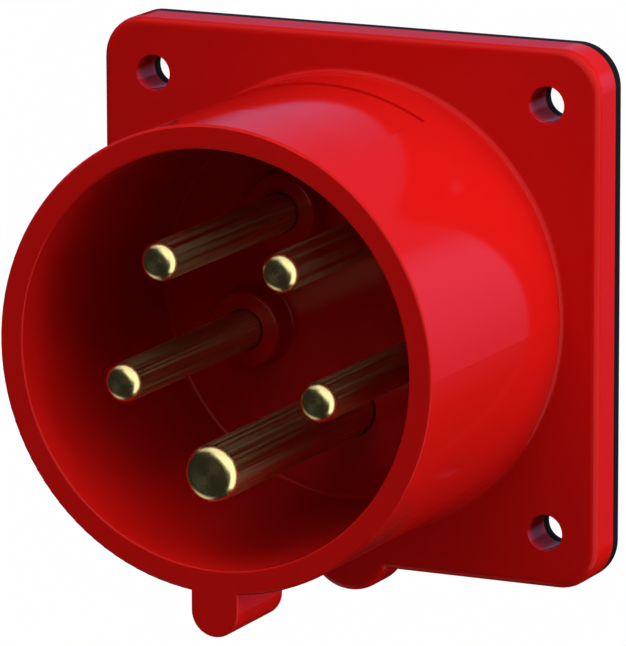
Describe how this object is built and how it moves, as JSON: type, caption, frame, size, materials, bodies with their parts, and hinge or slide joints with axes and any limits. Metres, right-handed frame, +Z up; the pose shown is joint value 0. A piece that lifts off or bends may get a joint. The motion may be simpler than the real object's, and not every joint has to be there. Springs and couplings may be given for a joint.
{
  "type": "industrial appliance inlet",
  "caption": "Panel-mounting industrial appliance inlet: round shroud with key round the contact pins, square flange with gasket, and a rear terminal block with clamping screws.",
  "frame": {"origin": "centre of the four fixing holes, on the panel face behind the gasket", "axes": "+X right, +Z up, -Y out of the shroud towards the mating connector; earth pin and key at -Z"},
  "size_m": [0.0756, 0.0746, 0.0793],
  "materials": {
    "red_moulding": "glossy signal-red polyamide",
    "gasket": "satin black elastomer",
    "carrier": "fine dark grey moulding",
    "brass": "turned, slightly dulled",
    "screw_steel": "zinc plated"
  },
  "bodies": {
    "housing": {"inlet_housing": "red_moulding", "flange_gasket": "gasket", "terminal_carrier": "carrier", "carrier_screw_1": "screw_steel", "carrier_screw_2": "screw_steel", "carrier_screw_3": "screw_steel", "pin_earth": "brass", "pin_line_1": "brass", "pin_line_2": "brass", "pin_line_3": "brass", "pin_neutral": "brass"},
    "clamp_earth": {"terminal_screw_earth": "screw_steel"},
    "clamp_line_1": {"terminal_screw_line_1": "screw_steel"},
    "clamp_line_2": {"terminal_screw_line_2": "screw_steel"},
    "clamp_line_3": {"terminal_screw_line_3": "screw_steel"},
    "clamp_neutral": {"terminal_screw_neutral": "screw_steel"}
  },
  "joints": [
    {"name": "clamp_earth", "type": "slide", "parent": "housing", "child": "clamp_earth", "axis": [0, 0, 1], "range_m": [0, 0.0047]},
    {"name": "clamp_line_1", "type": "slide", "parent": "housing", "child": "clamp_line_1", "axis": [0.9511, 0, 0.309], "range_m": [0, 0.0047]},
    {"name": "clamp_line_2", "type": "slide", "parent": "housing", "child": "clamp_line_2", "axis": [0.5878, 0, -0.809], "range_m": [0, 0.0047]},
    {"name": "clamp_line_3", "type": "slide", "parent": "housing", "child": "clamp_line_3", "axis": [-0.5878, 0, -0.809], "range_m": [0, 0.0047]},
    {"name": "clamp_neutral", "type": "slide", "parent": "housing", "child": "clamp_neutral", "axis": [-0.9511, 0, 0.309], "range_m": [0, 0.0047]}
  ]
}
